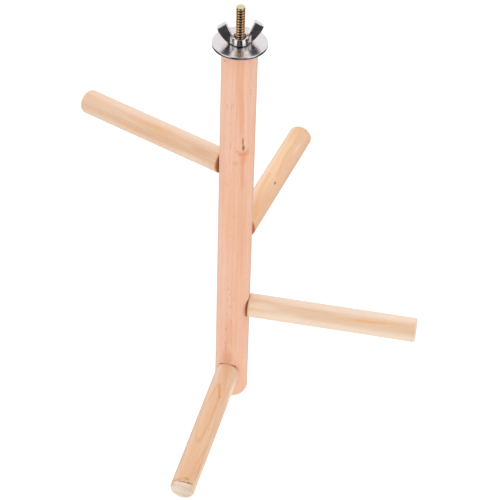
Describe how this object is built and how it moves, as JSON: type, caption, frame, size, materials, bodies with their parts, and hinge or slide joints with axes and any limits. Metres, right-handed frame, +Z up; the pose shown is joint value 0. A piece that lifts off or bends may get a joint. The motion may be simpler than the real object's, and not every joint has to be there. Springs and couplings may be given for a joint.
{
  "type": "bird perch",
  "caption": "Hanging bird perch: round wooden post with round perches spiralling down it, clamped to a cage by bolt, washer and wing nut.",
  "frame": {"origin": "centre of the post's top face, where the bolt leaves it and the cage wires are clamped", "axes": "+Z up along the bolt and away from the post; +X and +Y level; the camera of the picture looks along +Y, with +X to its right"},
  "size_m": [0.2549, 0.2689, 0.353],
  "materials": {
    "post_wood": "bare, fine sanded",
    "perch_wood": "bare, fine sanded",
    "yellow_zinc": "yellow chromated zinc",
    "washer_nickel": "polished nickel plate",
    "nut_nickel": "bright nickel plate",
    "screw_steel": "plain steel"
  },
  "bodies": {
    "stand": {"post": "post_wood", "hanger_bolt": "yellow_zinc", "top_perch": "perch_wood", "upper_perch": "perch_wood", "lower_perch": "perch_wood", "bottom_perch": "perch_wood", "top_perch_screw": "screw_steel", "upper_perch_screw": "screw_steel", "lower_perch_screw": "screw_steel", "bottom_perch_screw": "screw_steel"},
    "washer": {"clamp_washer": "washer_nickel"},
    "nut": {"wing_nut": "nut_nickel"}
  },
  "joints": [
    {"name": "washer_lift", "type": "slide", "parent": "stand", "child": "washer", "axis": [0, 0, 1], "range_m": [0, 0.02794]},
    {"name": "nut_spin", "type": "hinge", "parent": "washer", "child": "nut", "pos_m": [0, 0, 0.0018], "axis": [0, 0, 1], "range_deg": [0, 7920]}
  ],
  "couplings": [
    {"joint": "washer_lift", "follows": "nut_spin", "m_per_rad": 0.00020213}
  ]
}
